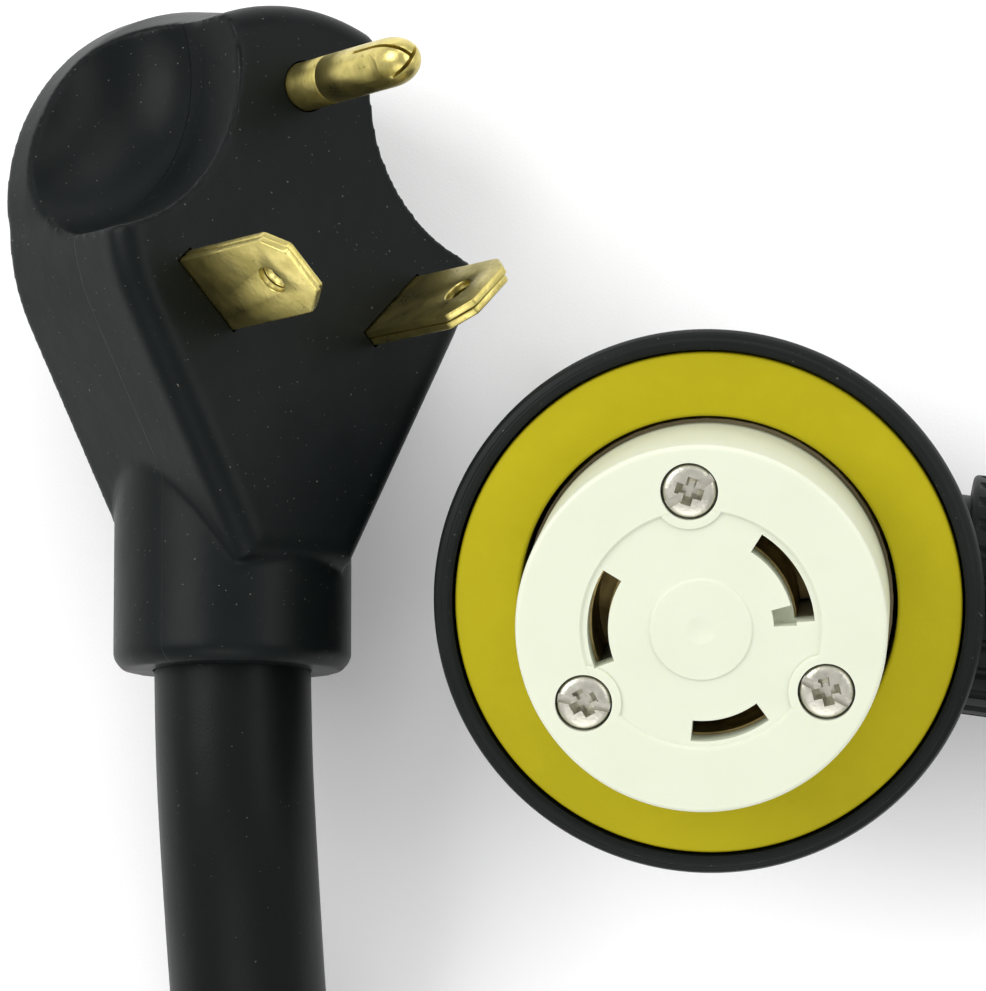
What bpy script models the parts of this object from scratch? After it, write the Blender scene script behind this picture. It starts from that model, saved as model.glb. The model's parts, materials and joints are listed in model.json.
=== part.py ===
"""A short adapter lead: an angled three-pin plug head, a thick round cord, and a locking connector.

The plug head and the connector both lie on a table at z = 0. Each is modelled in a frame of its own, with
+Z out of its contact face, and an empty places that frame. Lengths are metres, and MM turns millimetres
into them.
"""

from math import cos, pi, radians, sin, tan

import bmesh
import bpy
from mathutils import Matrix, Vector

MM = 0.001
GAP = 0.3 * MM

# Where the two ends lie
PLUG_AT = Vector((-37.9, 14.8, 33.1)) * MM
PLUG_ROLL = radians(36)
PLUG_DIP = radians(3)
CONNECTOR_AT = Vector((5.7, -19.2, 45.31)) * MM
CONNECTOR_LEAN_FORWARD = radians(12.5)
CONNECTOR_LEAN_LEFT = radians(5)

# Cord
CORD_R = 8.7 * MM
CORD_BORE_R = 9.05 * MM
CORD_POINT_SPACING = 3.4 * CORD_R
CORD_PLUG_END_Y = -33.0 * MM
CORD_CONNECTOR_END_X = 23.0 * MM
WIRE_R = 1.9 * MM
WIRE_LAY_R = 4.2 * MM

# Plug head: x across, y towards the rounded top, z out of the face
HEAD_R = 24.2 * MM
HEAD_CENTRE_Y = 9.1 * MM
HEAD_DEPTH = 23.3 * MM
HEAD_TAPER = radians(28)
HEAD_FOOT_Y = -29.0 * MM
HEAD_FRONT_ROUND = 3.0 * MM
HEAD_BACK_CHAMFER = 0.8 * MM
SCOOP_R = 19.1 * MM
SCOOP_X = 27.9 * MM
SCOOP_Y = 24.8 * MM
SCOOP_DEPTH = 18.6 * MM
SCOOP_FILLET = 11.0 * MM
COLLAR_R = 13.2 * MM
COLLAR_Z = -14.2 * MM
COLLAR_END_Y = -39.8 * MM
COLLAR_CHAMFER = 1.2 * MM
CAVITY_TOP = -3.5 * MM
CAVITY_FLOOR = -20.3 * MM

# Plug contacts
BLADE_X = 12.2 * MM
BLADE_WIDTH = 9.9 * MM
BLADE_THICK = 1.9 * MM
BLADE_LENGTH = 18.2 * MM
BLADE_ANGLE = radians(45)
BLADE_HOLE_R = 1.65 * MM
BLADE_HOLE_Z = 12.6 * MM
GROUND_Y = 23.9 * MM
GROUND_R = 2.7 * MM
GROUND_LENGTH = 20.3 * MM
CONTACT_BACK = -12.0 * MM

# Connector: z along its axis, with z = 0 on the yellow front, x towards the cord
STEPS = 48
INSERT_R = 19.45 * MM
INSERT_FACE_Z = 16.0 * MM
INSERT_BACK_Z = -2.0 * MM
FACE_PLATE = 4.0 * MM
FLANGE_R = 27.1 * MM
FLANGE_THICK = 5.0 * MM
FLANGE_BORE_R = 20.3 * MM
BARREL_R = 22.8 * MM
BARREL_BACK_Z = -13.4 * MM
RING_R = 29.6 * MM
RING_BORE_R = 27.5 * MM
RING_FRONT_Z = 0.6 * MM
RING_BACK_R = 27.9 * MM
RING_BACK_Z = -12.7 * MM
RING_LIP_R = 23.6 * MM
RING_LIP_THICK = 2.6 * MM
HOUSING_TOP_Z = -13.0 * MM
HOUSING_BACK_Z = -43.0 * MM
HOUSING_R = 23.8 * MM
HOUSING_BORE_R = 20.5 * MM
HOUSING_FILLET = 10.0 * MM
NECK_Z = -29.0 * MM
NECK_TURN = radians(-8)
NECK_R = 11.0 * MM
NECK_BORE_R = 10.35 * MM
NECK_END_X = 36.0 * MM
SLOT_INNER_R = 9.7 * MM
SLOT_OUTER_R = 11.9 * MM
POCKET_MARGIN = 0.7 * MM
LEAF_THICK = 0.6 * MM
SCREW_CIRCLE_R = 14.6 * MM
SCREW_HEAD_R = 2.8 * MM
SCREW_HEAD_TALL = 2.0 * MM
SCREW_SHANK_R = 1.5 * MM
FACE_SCREW_ANGLES = (94, 212, 333)
# name of the contact, where its slot starts and ends in degrees
SLOTS = (("neutral", 148, 200), ("hot", 264, 306), ("ground", 4, 57))
HOOK_INNER_R = 7.6 * MM
HOOK_ANGLES = (4, 15)

# The cord's route over the table in millimetres, from the collar's end to the tip of the strain relief
CORD_ROUTE = (
    (-46.2, -25.5, 23.7), (-46.0, -35.6, 23.5), (-45.5, -45.6, 22.1), (-44.7, -60.8, 17.3),
    (-43.5, -76.6, 12.1), (-40.2, -94.6, 9.4), (-32.2, -116.6, 8.8), (-16.4, -137.3, 8.8),
    (4.3, -152.8, 8.8), (28.4, -161.8, 8.8), (54.3, -164.9, 8.8), (70.0, -165.1, 8.8),
    (84.0, -165.0, 8.8), (108.0, -160.8, 8.8), (129.2, -148.6, 8.8), (145.0, -129.8, 8.8),
    (153.3, -106.8, 8.8), (153.3, -82.4, 9.4), (145.0, -59.4, 11.8), (137.9, -49.3, 13.4),
    (129.2, -40.7, 15.2), (119.2, -33.6, 17.2), (106.5, -27.8, 19.3), (93.7, -24.9, 20.7),
    (81.4, -23.0, 21.1), (69.5, -21.4, 20.6),
)


def clear_scene():
    for old in list(bpy.data.objects):
        bpy.data.objects.remove(old, do_unlink=True)


def material(name, colour, roughness, metallic=0.0):
    made = bpy.data.materials.new(name)
    made.use_nodes = True
    shader = made.node_tree.nodes["Principled BSDF"]
    shader.inputs["Base Color"].default_value = (*colour, 1.0)
    shader.inputs["Roughness"].default_value = roughness
    shader.inputs["Metallic"].default_value = metallic
    return made


def frame_empty(name, location, rotation):
    empty = bpy.data.objects.new(name, None)
    empty.matrix_world = Matrix.Translation(location) @ rotation.to_4x4()
    bpy.context.scene.collection.objects.link(empty)
    return empty


def add(name, mesh, parent, finish):
    made = bpy.data.objects.new(name, mesh)
    bpy.context.scene.collection.objects.link(made)
    made.parent = parent
    if finish is not None:
        mesh.materials.append(finish)
    return made


def loft(name, loops, wrap=False, place=None):
    """A closed mesh through loops of equally many points. wrap joins the last loop to the first."""
    bm = bmesh.new()
    rows = [[bm.verts.new(point) for point in loop] for loop in loops]
    following = rows[1:] + [rows[0]] if wrap else rows[1:]
    for row, after in zip(rows, following):
        for i in range(len(row)):
            j = (i + 1) % len(row)
            bm.faces.new((row[i], row[j], after[j], after[i]))
    if not wrap:
        bm.faces.new(rows[0][::-1])
        bm.faces.new(rows[-1])
    bmesh.ops.recalc_face_normals(bm, faces=bm.faces[:])
    if place is not None:
        bm.transform(place)
    mesh = bpy.data.meshes.new(name)
    bm.to_mesh(mesh)
    bm.free()
    mesh.shade_smooth()
    mesh.set_sharp_from_angle(angle=radians(30))
    return mesh


def circle(radius, z, steps):
    return [(radius * cos(2 * pi * i / steps), radius * sin(2 * pi * i / steps), z) for i in range(steps)]


def turned(name, profile, steps=STEPS, hollow=False, place=None):
    """A turned body from (radius, z) points. A hollow one has a closed profile, clear of the axis."""
    return loft(name, [circle(r, z, steps) for r, z in profile], hollow, place)


def prism(name, outline, low, high, place=None):
    return loft(name, [[(x, y, low) for x, y in outline], [(x, y, high) for x, y in outline]], False, place)


def box(name, low, high, place=None):
    outline = [(low[0], low[1]), (high[0], low[1]), (high[0], high[1]), (low[0], high[1])]
    return prism(name, outline, low[2], high[2], place)


def arc(radius, start, end, count, centre=(0.0, 0.0)):
    """Points on an arc, from start to end in degrees."""
    angles = [radians(start + (end - start) * i / (count - 1)) for i in range(count)]
    return [(centre[0] + radius * cos(a), centre[1] + radius * sin(a)) for a in angles]


def arc_band(inner, outer, start, end, count=9):
    """The outline of a curved slot between two radii."""
    return arc(outer, start, end, count) + arc(inner, end, start, count)


def boolean(body, mesh, operation="DIFFERENCE"):
    cutter = add(mesh.name, mesh, body.parent, None)
    cutter.hide_render = True
    cutter.display_type = "WIRE"
    step = body.modifiers.new(mesh.name, "BOOLEAN")
    step.operation = operation
    step.solver = "EXACT"
    step.object = cutter


def along(start, direction):
    """Turns a body made along +Z so that it starts at a point and runs along a direction."""
    turn = Vector(direction).to_track_quat("Z", "Y").to_matrix().to_4x4()
    return Matrix.Translation(start) @ turn


def smooth_path(points, spacing):
    """Evenly spaced points on a Catmull-Rom curve through the given points."""
    points = [Vector(p) for p in points]
    padded = [2 * points[0] - points[1], *points, 2 * points[-1] - points[-2]]
    fine = [points[0]]
    for a, b, c, d in zip(padded, padded[1:], padded[2:], padded[3:]):
        for i in range(1, 25):
            t = i / 24
            bend = (2 * a - 5 * b + 4 * c - d) * t * t + (3 * b - a - 3 * c + d) * t**3
            fine.append((2 * b + (c - a) * t + bend) / 2)
    lengths = [0.0]
    for before, after in zip(fine, fine[1:]):
        lengths.append(lengths[-1] + (after - before).length)
    count = max(2, round(lengths[-1] / spacing) + 1)
    path = []
    k = 0
    for i in range(count):
        at = lengths[-1] * i / (count - 1)
        while k < len(fine) - 2 and lengths[k + 1] < at:
            k += 1
        share = (at - lengths[k]) / (lengths[k + 1] - lengths[k])
        path.append(fine[k].lerp(fine[k + 1], share))
    return path


def tube(name, path, radius, parent, finish, resolution=2):
    curve = bpy.data.curves.new(name, "CURVE")
    curve.dimensions = "3D"
    curve.bevel_depth = radius
    curve.bevel_resolution = resolution
    curve.use_fill_caps = True
    spline = curve.splines.new("POLY")
    spline.points.add(len(path) - 1)
    for point, at in zip(spline.points, path):
        point.co = (*at, 1.0)
    return add(name, curve, parent, finish)


# ---- Plug head -------------------------------------------------------------------------------------------


def head_outline(inset):
    """The teardrop: a circle with two straight sides that taper to a short foot, all moved in by inset."""
    radius = HEAD_R - inset
    lean = HEAD_TAPER * 180 / pi
    outline = arc(radius, -lean, 180 + lean, 33, (0.0, HEAD_CENTRE_Y))
    foot_y = HEAD_FOOT_Y + inset
    corner_x, corner_y = outline[0]
    foot_x = corner_x - (corner_y - foot_y) * tan(HEAD_TAPER)
    return outline + [(-foot_x, foot_y), (foot_x, foot_y)]


def plug_body(parent, finish):
    layers = [(-HEAD_DEPTH, HEAD_BACK_CHAMFER), (-HEAD_DEPTH + HEAD_BACK_CHAMFER, 0.0)]
    for degrees in (0, 30, 60, 90):
        turn = radians(degrees)
        layers.append((HEAD_FRONT_ROUND * (sin(turn) - 1), HEAD_FRONT_ROUND * (1 - cos(turn))))
    loops = [[(x, y, z) for x, y in head_outline(inset)] for z, inset in layers]
    body = add("plug_body", loft("plug_body", loops), parent, finish)

    collar_length = -COLLAR_END_Y
    dome = 12 * MM
    profile = [(COLLAR_R - COLLAR_CHAMFER, 0.0), (COLLAR_R, COLLAR_CHAMFER)]
    for degrees in (0, 25, 50, 75):
        turn = radians(degrees)
        profile.append((COLLAR_R * cos(turn), collar_length - dome + dome * sin(turn)))
    up = along((0, COLLAR_END_Y, COLLAR_Z), (0, 1, 0))
    boolean(body, turned("collar_shape", profile, 32, place=up), "UNION")

    for side, name in ((-1, "left"), (1, "right")):
        profile = [(SCOOP_R, 2 * MM)]
        for degrees in (0, 15, 30, 45, 60, 75, 90):
            turn = radians(degrees)
            reach = SCOOP_R - SCOOP_FILLET * (1 - cos(turn))
            profile.append((reach, -SCOOP_DEPTH + SCOOP_FILLET * (1 - sin(turn))))
        place = Matrix.Translation((side * SCOOP_X, SCOOP_Y, 0))
        boolean(body, turned(f"{name}_scoop_cut", profile, 40, place=place))

    boolean(body, prism("plug_cavity_cut", cavity_outline(0.0), CAVITY_FLOOR, CAVITY_TOP))
    boolean(body, turned("cord_bore_cut", [(CORD_BORE_R, 0), (CORD_BORE_R, 35 * MM)], 32,
                         place=along((0, COLLAR_END_Y - 1 * MM, COLLAR_Z), (0, 1, 0))))
    contact_cuts(body, "face", CONTACT_BACK - 0.6 * MM, 1 * MM)


def cavity_outline(inset):
    wide, narrow = 15 * MM - inset, 5.2 * MM - inset
    low, step, high = -6 * MM + inset, 7 * MM - inset, 28.6 * MM - inset
    return [(-wide, low), (wide, low), (wide, step), (narrow, step), (narrow, high),
            (-narrow, high), (-narrow, step), (-wide, step)]


def blade_place(side):
    """Puts a blade drawn along x at its place, turned so that the pair closes towards the cord."""
    turn = Matrix.Rotation(pi / 2 - side * BLADE_ANGLE, 4, "Z")
    return Matrix.Translation((side * BLADE_X, 0, 0)) @ turn


def contact_cuts(body, name, low, high):
    """The two blade slots and the pin hole, each with a gap all round."""
    half_w, half_t = BLADE_WIDTH / 2 + GAP, BLADE_THICK / 2 + GAP
    for side in (-1, 1):
        corners = (-half_w, -half_t, low), (half_w, half_t, high)
        cut = box(f"{name}_blade_slot_{side + 2}", *corners, blade_place(side))
        boolean(body, cut)
    pin = [(GROUND_R + GAP, low), (GROUND_R + GAP, high)]
    boolean(body, turned(f"{name}_pin_hole", pin, 24, place=Matrix.Translation((0, GROUND_Y, 0))))


def blade(name, side, parent, finish):
    half, tip = BLADE_WIDTH / 2, BLADE_WIDTH / 2 - 2.1 * MM
    chamfer_z = BLADE_LENGTH - 3 * MM
    outline = [(-half, CONTACT_BACK), (half, CONTACT_BACK), (half, chamfer_z), (tip, BLADE_LENGTH),
               (-tip, BLADE_LENGTH), (-half, chamfer_z)]
    upright = Matrix.Rotation(pi / 2, 4, "X")
    place = blade_place(side)
    made = add(name, prism(name, outline, -BLADE_THICK / 2, BLADE_THICK / 2, place @ upright), parent, finish)
    hole_turn = place @ upright @ Matrix.Translation((0, BLADE_HOLE_Z, 0))
    hole = [(BLADE_HOLE_R, -BLADE_THICK), (BLADE_HOLE_R, BLADE_THICK)]
    boolean(made, turned(f"{name}_hole_cut", hole, 20, place=hole_turn))


def ground_pin(parent, finish):
    shoulder = GROUND_LENGTH - 4.5 * MM
    profile = [(GROUND_R, CONTACT_BACK), (GROUND_R, shoulder)]
    for degrees in (25, 50, 75):
        turn = radians(degrees)
        profile.append((GROUND_R * cos(turn), shoulder + 4.5 * MM * sin(turn)))
    place = Matrix.Translation((0, GROUND_Y, 0))
    made = add("ground_pin", turned("ground_pin", profile, 24, place=place), parent, finish)
    slit_half = 0.3 * MM
    slit_low = GROUND_LENGTH - 6 * MM
    corners = (-2 * GROUND_R, -slit_half, slit_low), (2 * GROUND_R, slit_half, GROUND_LENGTH + MM)
    slit = box("pin_slit_cut", *corners, place)
    boolean(made, slit)


def blade_carrier(parent, finish):
    inset = 0.5 * MM
    low, high = -9 * MM, CAVITY_TOP - 0.4 * MM
    made = add("blade_carrier", prism("blade_carrier", cavity_outline(inset), low, high), parent, finish)
    contact_cuts(made, "carrier", low - 1 * MM, high + 1 * MM)


def cord_ferrule(parent, finish):
    profile = [(8.5 * MM, 0), (8.5 * MM, 5 * MM), (7.2 * MM, 5 * MM), (7.2 * MM, 0)]
    place = along((0, -31.8 * MM, COLLAR_Z), (0, 1, 0))
    add("cord_ferrule", turned("cord_ferrule", profile, 24, hollow=True, place=place), parent, finish)


def plug_wires(parent, finishes):
    """Three insulated wires from the cord's end to the backs of the contacts."""
    side_x, side_z = WIRE_LAY_R * cos(radians(30)), COLLAR_Z + WIRE_LAY_R * sin(radians(30))
    back = CONTACT_BACK - 1.0 * MM
    for name, side in (("hot", -1), ("neutral", 1)):
        x = side * BLADE_X
        route = [(side * side_x, -32.2 * MM, side_z), (side * side_x, -22 * MM, side_z),
                 (side * side_x, -13 * MM, side_z - 1 * MM), (side * 6 * MM, -6 * MM, -15.6 * MM),
                 (side * 9.6 * MM, -2 * MM, -16.6 * MM), (x - side * 0.6 * MM, -0.4 * MM, -15.2 * MM), (x, 0, back)]
        tube(f"plug_wire_{name}", smooth_path(route, 3 * MM), WIRE_R, parent, finishes[name], 1)
    low = COLLAR_Z - WIRE_LAY_R
    route = [(0, -32.2 * MM, low), (0, -20 * MM, low), (0, -8 * MM, -17.9 * MM), (0, 6 * MM, -17.6 * MM),
             (0, 17 * MM, -17.6 * MM), (0, 21.8 * MM, -16.4 * MM), (0, GROUND_Y - 0.2 * MM, back)]
    tube("plug_wire_ground", smooth_path(route, 3 * MM), WIRE_R, parent, finishes["ground"], 1)


# ---- Connector -------------------------------------------------------------------------------------------


def neck_place(distance):
    """The neck's own frame, z along its axis, at a distance out from the connector's axis."""
    axis = Vector((cos(NECK_TURN), sin(NECK_TURN), 0))
    return along(axis * distance + Vector((0, 0, NECK_Z)), axis)


def rear_housing(parent, finish):
    outer = [(26.6 * MM, HOUSING_TOP_Z), (26.6 * MM, HOUSING_TOP_Z - 3 * MM),
             (HOUSING_R, HOUSING_TOP_Z - 6 * MM)]
    centre_r, centre_z = HOUSING_R - HOUSING_FILLET, HOUSING_BACK_Z + HOUSING_FILLET
    for degrees in (0, 18, 36, 54, 72, 90):
        turn = radians(degrees)
        outer.append((centre_r + HOUSING_FILLET * cos(turn), centre_z - HOUSING_FILLET * sin(turn)))
    made = add("rear_housing", turned("rear_housing", outer), parent, finish)
    neck = [(NECK_R, 0), (NECK_R, NECK_END_X)]
    boolean(made, turned("neck_shape", neck, 32, place=neck_place(0)), "UNION")
    inside = [(23.1 * MM, HOUSING_TOP_Z + 1 * MM), (23.1 * MM, HOUSING_TOP_Z - 2.2 * MM),
              (HOUSING_BORE_R, HOUSING_TOP_Z - 2.2 * MM), (HOUSING_BORE_R, -33 * MM), (12 * MM, -39.6 * MM)]
    boolean(made, turned("housing_hollow_cut", inside))
    bore = [(NECK_BORE_R, 0), (NECK_BORE_R, NECK_END_X + 1 * MM)]
    boolean(made, turned("neck_bore_cut", bore, 32, place=neck_place(0)))


def gland_nut(parent, finish):
    start = 27 * MM
    length = 12.5 * MM
    lip = 2.5 * MM
    inner = NECK_R + GAP
    outer = 13.4 * MM
    profile = [(outer, 1 * MM), (outer, length - 1 * MM), (outer - 1 * MM, length), (NECK_BORE_R, length),
               (NECK_BORE_R, length - lip), (inner, length - lip), (inner, 0), (outer - 1 * MM, 0)]
    place = neck_place(start)
    add("gland_nut", turned("gland_nut", profile, 32, hollow=True, place=place), parent, finish)


def strain_relief(parent, finish):
    sleeve_r = 10.05 * MM
    shoulder, end = 15.8 * MM, 38 * MM
    profile = [(sleeve_r, 0), (sleeve_r, shoulder), (12 * MM, shoulder), (12 * MM, shoulder + 3 * MM),
               (9.8 * MM, end), (CORD_BORE_R, end), (CORD_BORE_R, 0)]
    place = neck_place(24 * MM)
    add("strain_relief", turned("strain_relief", profile, 32, hollow=True, place=place), parent, finish)


def front_flange(parent, finish):
    profile = [(FLANGE_BORE_R, 0), (FLANGE_R - 0.8 * MM, 0), (FLANGE_R, -0.8 * MM), (FLANGE_R, -FLANGE_THICK),
               (BARREL_R, -FLANGE_THICK), (BARREL_R, BARREL_BACK_Z), (FLANGE_BORE_R, BARREL_BACK_Z)]
    add("front_flange", turned("front_flange", profile, hollow=True), parent, finish)


def housing_gasket(parent, finish):
    top = BARREL_BACK_Z - GAP
    bottom = HOUSING_TOP_Z - 2.2 * MM + GAP
    profile = [(20.8 * MM, top), (22.8 * MM, top), (22.8 * MM, bottom), (20.8 * MM, bottom)]
    add("housing_gasket", turned("housing_gasket", profile, hollow=True), parent, finish)


def locking_ring(parent, finish):
    lip_top = RING_BACK_Z + RING_LIP_THICK
    profile = [(RING_BORE_R, RING_FRONT_Z - 0.3 * MM), (RING_BORE_R + 0.5 * MM, RING_FRONT_Z),
               (RING_R - 0.9 * MM, RING_FRONT_Z), (RING_R - 0.25 * MM, RING_FRONT_Z - 0.4 * MM),
               (RING_R, RING_FRONT_Z - 1.2 * MM), (RING_BACK_R, RING_BACK_Z + 1 * MM),
               (RING_BACK_R - 1 * MM, RING_BACK_Z),
               (RING_LIP_R, RING_BACK_Z), (RING_LIP_R, lip_top), (RING_BORE_R, lip_top)]
    add("locking_ring", turned("locking_ring", profile, hollow=True), parent, finish)


def slip_washer(parent, finish):
    bottom = RING_BACK_Z + RING_LIP_THICK + GAP
    top = bottom + 1.1 * MM
    profile = [(RING_LIP_R, bottom), (27.2 * MM, bottom), (27.2 * MM, top), (RING_LIP_R, top)]
    add("slip_washer", turned("slip_washer", profile, hollow=True), parent, finish)


def at_angle(radius, degrees, z=0.0):
    return Matrix.Translation((radius * cos(radians(degrees)), radius * sin(radians(degrees)), z))


def face_insert(parent, finish):
    edge = 0.5 * MM
    profile = [(INSERT_R, INSERT_BACK_Z), (INSERT_R, INSERT_FACE_Z - edge), (INSERT_R - edge, INSERT_FACE_Z)]
    made = add("face_insert", turned("face_insert", profile, 64), parent, finish)
    inner, outer = SLOT_INNER_R - POCKET_MARGIN, SLOT_OUTER_R + POCKET_MARGIN
    plate_back = INSERT_FACE_Z - FACE_PLATE
    for name, start, end in SLOTS:
        pocket = arc_band(inner, outer, start - 3, end + 3)
        boolean(made, prism(f"{name}_pocket_cut", pocket, INSERT_BACK_Z - 1 * MM, plate_back))
        slot = arc_band(SLOT_INNER_R, SLOT_OUTER_R, start, end)
        boolean(made, prism(f"{name}_slot_cut", slot, plate_back - 1 * MM, INSERT_FACE_Z + 1 * MM))
    hook = arc_band(HOOK_INNER_R, SLOT_INNER_R + 0.3 * MM, *HOOK_ANGLES, 3)
    boolean(made, prism("hook_cut", hook, INSERT_FACE_Z - 3 * MM, INSERT_FACE_Z + 1 * MM))
    for i, degrees in enumerate(FACE_SCREW_ANGLES, 1):
        floor = INSERT_FACE_Z - SCREW_HEAD_TALL - 0.6 * MM
        head = SCREW_HEAD_R + GAP
        shank = SCREW_SHANK_R + GAP
        profile = [(shank, INSERT_BACK_Z - 1 * MM), (shank, floor),
                   (head, floor), (head, INSERT_FACE_Z + 1 * MM)]
        boolean(made, turned(f"face_screw_hole_{i}", profile, 24, place=at_angle(SCREW_CIRCLE_R, degrees)))


def contact_carrier(parent, finish):
    top, bottom = INSERT_BACK_Z - GAP, -9 * MM
    radius = INSERT_R + 0.35 * MM
    disc = turned("contact_carrier", [(radius, bottom), (radius, top)])
    made = add("contact_carrier", disc, parent, finish)
    for name, start, end in SLOTS:
        stem = stem_outline(start, end, GAP)
        boolean(made, prism(f"{name}_stem_cut", stem, bottom - 1 * MM, top + 1 * MM))
    for i, degrees in enumerate(FACE_SCREW_ANGLES, 1):
        profile = [(SCREW_SHANK_R + GAP, bottom - 1 * MM), (SCREW_SHANK_R + GAP, top + 1 * MM)]
        boolean(made, turned(f"carrier_screw_hole_{i}", profile, 20, place=at_angle(SCREW_CIRCLE_R, degrees)))


def stem_outline(start, end, margin):
    middle = (start + end) / 2
    half = 13 + margin / MM * 5
    return arc_band(10.2 * MM - margin, 11.4 * MM + margin, middle - half, middle + half, 5)


def contact(name, start, end, parent, finish):
    """Two springy leaves either side of the slot, joined by a floor, with a stem through the carrier."""
    inner, outer = SLOT_INNER_R - POCKET_MARGIN + GAP, SLOT_OUTER_R + POCKET_MARGIN - GAP
    top = INSERT_FACE_Z - FACE_PLATE - GAP
    floor = INSERT_BACK_Z + 1.5 * MM
    underside = INSERT_BACK_Z + 0.3 * MM
    section = [(inner, underside), (outer, underside), (outer, top), (outer - LEAF_THICK, top),
               (outer - LEAF_THICK, floor), (inner + LEAF_THICK, floor), (inner + LEAF_THICK, top), (inner, top)]
    loops = []
    for degrees in [start - 1 + (end - start + 2) * i / 8 for i in range(9)]:
        turn = radians(degrees)
        loops.append([(r * cos(turn), r * sin(turn), z) for r, z in section])
    made = add(f"contact_{name}", loft(f"contact_{name}", loops), parent, finish)
    stem = prism(f"{name}_stem_shape", stem_outline(start, end, 0.0), -14.5 * MM, underside + 0.4 * MM)
    boolean(made, stem, "UNION")


def face_screw(i, degrees, parent, finish):
    top = INSERT_FACE_Z - 0.25 * MM
    head_low = top - SCREW_HEAD_TALL
    edge = 0.35 * MM
    profile = [(SCREW_SHANK_R, -11 * MM), (SCREW_SHANK_R, head_low), (SCREW_HEAD_R, head_low),
               (SCREW_HEAD_R, top - edge), (SCREW_HEAD_R - edge, top)]
    made = add(f"face_screw_{i}", turned(f"face_screw_{i}", profile, 20, place=at_angle(SCREW_CIRCLE_R, degrees)),
               parent, finish)
    turn = at_angle(SCREW_CIRCLE_R, degrees) @ Matrix.Rotation(radians(degrees + 20), 4, "Z")
    corners = (-3 * MM, -0.35 * MM, top - 0.7 * MM), (3 * MM, 0.35 * MM, top + 1 * MM)
    slot = box(f"screw_slot_{i}", *corners, turn)
    boolean(made, slot)


def terminal_screw(name, start, end, parent, finish):
    middle = radians((start + end) / 2)
    out = Vector((cos(middle), sin(middle), 0))
    profile = [(1.3 * MM, 0), (1.3 * MM, 3.4 * MM), (2.2 * MM, 3.4 * MM), (2.2 * MM, 5.2 * MM)]
    place = along(out * 11.8 * MM + Vector((0, 0, -11.9 * MM)), out)
    add(f"terminal_screw_{name}", turned(f"terminal_screw_{name}", profile, 12, place=place), parent, finish)


def connector_wires(parent, finishes):
    """Three insulated wires from the cord's end to the stems of the contacts."""
    lay = {"ground": 30, "neutral": 270, "hot": 150}
    swing = Matrix.Rotation(NECK_TURN, 3, "Z")
    for name, start, end in SLOTS:
        middle = radians((start + end) / 2)
        stem = Vector((10.8 * MM * cos(middle), 10.8 * MM * sin(middle), -15.0 * MM))
        turn = radians(lay[name])
        offset = Vector((0, WIRE_LAY_R * cos(turn), WIRE_LAY_R * sin(turn)))
        cord_end = swing @ (Vector((22.4 * MM, 0, 0)) + offset) + Vector((0, 0, NECK_Z))
        straight_end = swing @ (Vector((16.4 * MM, 0, 0)) + offset) + Vector((0, 0, NECK_Z))
        route = [cord_end, straight_end, (cord_end + stem) / 2 - Vector((3 * MM, 0, 4 * MM)),
                 stem - Vector((0, 0, 5 * MM)), stem]
        tube(f"connector_wire_{name}", smooth_path(route, 3 * MM), WIRE_R, parent, finishes[name], 1)


def build():
    clear_scene()
    black = material("moulded_black", (0.012, 0.013, 0.013), 0.42)
    rubber = material("cord_black", (0.010, 0.011, 0.011), 0.5)
    brass = material("brass", (0.62, 0.5, 0.16), 0.32, 1.0)
    steel = material("screw_steel", (0.45, 0.42, 0.36), 0.35, 1.0)
    nylon = material("white_nylon", (0.8, 0.8, 0.7), 0.45)
    yellow = material("yellow_plastic", (0.5, 0.4, 0.01), 0.5)
    carrier = material("carrier_tan", (0.35, 0.3, 0.2), 0.6)
    gasket = material("gasket_grey", (0.08, 0.08, 0.08), 0.8)
    wires = {"hot": material("wire_black", (0.02, 0.02, 0.02), 0.5),
             "neutral": material("wire_white", (0.75, 0.75, 0.72), 0.5),
             "ground": material("wire_green", (0.03, 0.25, 0.07), 0.5)}

    dip = Matrix.Rotation(-PLUG_DIP, 3, "X")
    roll = Matrix.Rotation(PLUG_ROLL, 3, "Y")
    plug = frame_empty("plug_frame", PLUG_AT, dip @ roll)
    plug_body(plug, black)
    blade_carrier(plug, carrier)
    blade("hot_blade", -1, plug, brass)
    blade("neutral_blade", 1, plug, brass)
    ground_pin(plug, brass)
    cord_ferrule(plug, steel)
    plug_wires(plug, wires)

    left = Matrix.Rotation(-CONNECTOR_LEAN_LEFT, 3, "Y")
    forward = Matrix.Rotation(CONNECTOR_LEAN_FORWARD, 3, "X")
    connector = frame_empty("connector_frame", CONNECTOR_AT, left @ forward)
    rear_housing(connector, black)
    gland_nut(connector, black)
    strain_relief(connector, rubber)
    front_flange(connector, yellow)
    housing_gasket(connector, gasket)
    locking_ring(connector, black)
    slip_washer(connector, nylon)
    face_insert(connector, nylon)
    contact_carrier(connector, carrier)
    for name, start, end in SLOTS:
        contact(name, start, end, connector, brass)
        terminal_screw(name, start, end, connector, steel)
    for i, degrees in enumerate(FACE_SCREW_ANGLES, 1):
        face_screw(i, degrees, connector, steel)
    connector_wires(connector, wires)

    route = [Vector(point) * MM for point in CORD_ROUTE]
    plug_end = plug.matrix_world @ Vector((0, CORD_PLUG_END_Y, COLLAR_Z))
    connector_end = connector.matrix_world @ neck_place(CORD_CONNECTOR_END_X).translation
    path = [plug_end, *smooth_path(route, CORD_POINT_SPACING), connector_end]
    tube("cord", path, CORD_R, None, rubber, 4)


build()
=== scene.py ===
# %% [markdown]
# # A caravan adapter lead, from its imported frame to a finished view
# The lead has an angled plug head at one end, a thick cord, and a locking connector at the other.
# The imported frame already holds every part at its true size, so this file only gives the visible parts
# their fine shape and finish. Everything is in metres, and MM turns millimetres into them.

# %% Load the frame
import json
from math import cos, pi, radians, sin, tan

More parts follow.
